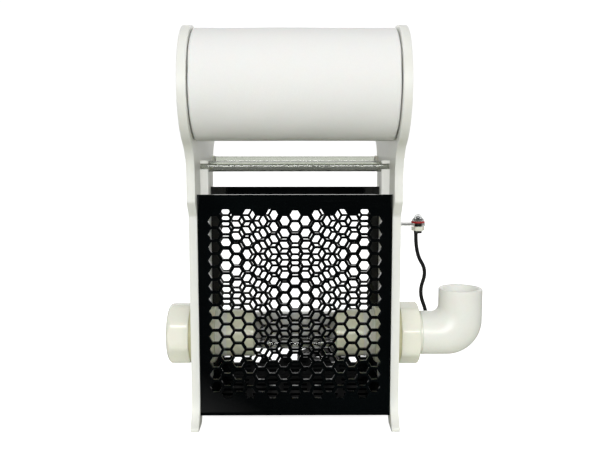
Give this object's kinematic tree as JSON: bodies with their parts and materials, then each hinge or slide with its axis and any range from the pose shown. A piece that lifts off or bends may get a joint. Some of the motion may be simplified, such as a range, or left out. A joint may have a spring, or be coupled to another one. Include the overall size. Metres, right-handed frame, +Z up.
{
  "type": "fleece roller filter",
  "caption": "Aquarium sump fleece roller filter: white side plates carry a fleece roll and a motor driven take-up roller over a black honeycomb basket with unions, an elbow and a level sensor",
  "frame": {"origin": "centre of the object's footprint, cable and plug left out, on the surface that it stands on", "axes": "+X to the right seen from the front, where the elbow and the sensor are; +Y to the back, where the take-up roller is; +Z up"},
  "size_m": [0.308, 0.3007, 0.3613],
  "materials": {
    "plate_white": "satin white PVC sheet",
    "rail_white": "satin white PVC bar",
    "acrylic_black": "polished black acrylic",
    "acrylic_clear": "clear acrylic rod",
    "pvc_ivory": "moulded ivory PVC, glossy",
    "gasket_tan": "matte tan rubber",
    "seal_black": "matte black rubber",
    "fleece": "matte white fleece",
    "cardboard": "plain brown board",
    "hub_grey": "satin light grey plastic",
    "spindle_steel": "brushed steel",
    "screw_steel": "plain steel screw",
    "knob_black": "satin black plastic",
    "gearbox_metal": "cast metal, satin",
    "arm_translucent": "translucent moulded plastic",
    "dome_clear": "clear moulded plastic",
    "gasket_red": "red silicone rubber",
    "cable_black": "soft black jacket"
  },
  "bodies": {
    "frame": {"side_plate_left": "plate_white", "side_plate_right": "plate_white", "front_grille": "acrylic_black", "rear_grille": "acrylic_black", "basket_floor": "acrylic_black", "guide_rail_left": "rail_white", "guide_rail_right": "rail_white", "lower_tie_rod": "acrylic_clear", "rear_brace": "plate_white", "rod_bush_left": "pvc_ivory", "rod_bush_right": "pvc_ivory", "rail_screws": "screw_steel", "brace_screws": "screw_steel", "tie_rod_screws": "screw_steel", "union_body_left": "pvc_ivory", "union_body_right": "pvc_ivory", "union_gasket_left": "gasket_tan", "union_gasket_right": "gasket_tan", "lock_nut_left": "pvc_ivory", "lock_nut_right": "pvc_ivory", "union_seal_ring": "seal_black", "gearbox_housing": "gearbox_metal", "gearbox_cover": "knob_black", "motor_can": "spindle_steel", "motor_terminals": "spindle_steel", "gearbox_screws": "screw_steel", "sensor_arm": "arm_translucent", "arm_screws": "screw_steel", "sensor_body": "knob_black", "sensor_gasket": "gasket_red", "sensor_dome": "dome_clear", "sensor_nut": "pvc_ivory", "sensor_gland": "knob_black", "sensor_cable": "cable_black", "cable_coil": "cable_black", "cable_plug": "knob_black", "plug_ferrule": "spindle_steel"},
    "supply_roll": {"fleece_roll": "fleece", "supply_core": "cardboard", "supply_hub_left": "hub_grey", "supply_hub_right": "hub_grey"},
    "spindle": {"supply_spindle": "spindle_steel", "spindle_knob": "knob_black"},
    "take_up_roller": {"take_up_core": "hub_grey", "drive_hub": "hub_grey", "idle_hub": "hub_grey", "output_shaft": "spindle_steel"},
    "idle_pin_set": {"idle_pin": "spindle_steel", "idle_pin_knob": "knob_black"},
    "front_rod": {"front_guide_rod": "acrylic_clear"},
    "rear_rod": {"rear_guide_rod": "acrylic_clear"},
    "cap_carrier": {"cap_seal": "seal_black"},
    "cap": {"blank_cap": "pvc_ivory"},
    "nut": {"union_nut": "pvc_ivory"},
    "elbow_set": {"union_tail": "pvc_ivory", "inlet_elbow": "pvc_ivory"}
  },
  "joints": [
    {"name": "supply_roll_spin", "type": "hinge", "parent": "frame", "child": "supply_roll", "pos_m": [-0.03, -0.0665, 0.3107], "axis": [1, 0, 0], "continuous": true},
    {"name": "spindle_pull", "type": "slide", "parent": "frame", "child": "spindle", "axis": [-1, 0, 0], "range_m": [0, 0.185]},
    {"name": "take_up_spin", "type": "hinge", "parent": "frame", "child": "take_up_roller", "pos_m": [-0.03, 0.0665, 0.3083], "axis": [1, 0, 0], "continuous": true},
    {"name": "idle_pin_pull", "type": "slide", "parent": "frame", "child": "idle_pin_set", "axis": [1, 0, 0], "range_m": [0, 0.03]},
    {"name": "front_rod_spin", "type": "hinge", "parent": "frame", "child": "front_rod", "pos_m": [-0.03, -0.0295, 0.2392], "axis": [1, 0, 0], "continuous": true},
    {"name": "rear_rod_spin", "type": "hinge", "parent": "frame", "child": "rear_rod", "pos_m": [-0.03, 0.0655, 0.2413], "axis": [1, 0, 0], "continuous": true},
    {"name": "cap_travel", "type": "slide", "parent": "frame", "child": "cap_carrier", "axis": [-1, 0, 0], "range_m": [0, 0.015]},
    {"name": "cap_turn", "type": "hinge", "parent": "cap_carrier", "child": "cap", "pos_m": [-0.142, -0.0033, 0.074], "axis": [-1, 0, 0], "range_deg": [0, 1800]},
    {"name": "nut_turn", "type": "hinge", "parent": "frame", "child": "nut", "pos_m": [0.082, -0.0033, 0.074], "axis": [1, 0, 0], "range_deg": [0, 180]},
    {"name": "elbow_swivel", "type": "hinge", "parent": "frame", "child": "elbow_set", "pos_m": [0.11, -0.0033, 0.074], "axis": [1, 0, 0], "continuous": true}
  ],
  "couplings": [
    {"joint": "cap_travel", "follows": "cap_turn", "m_per_rad": 0.00047746}
  ]
}
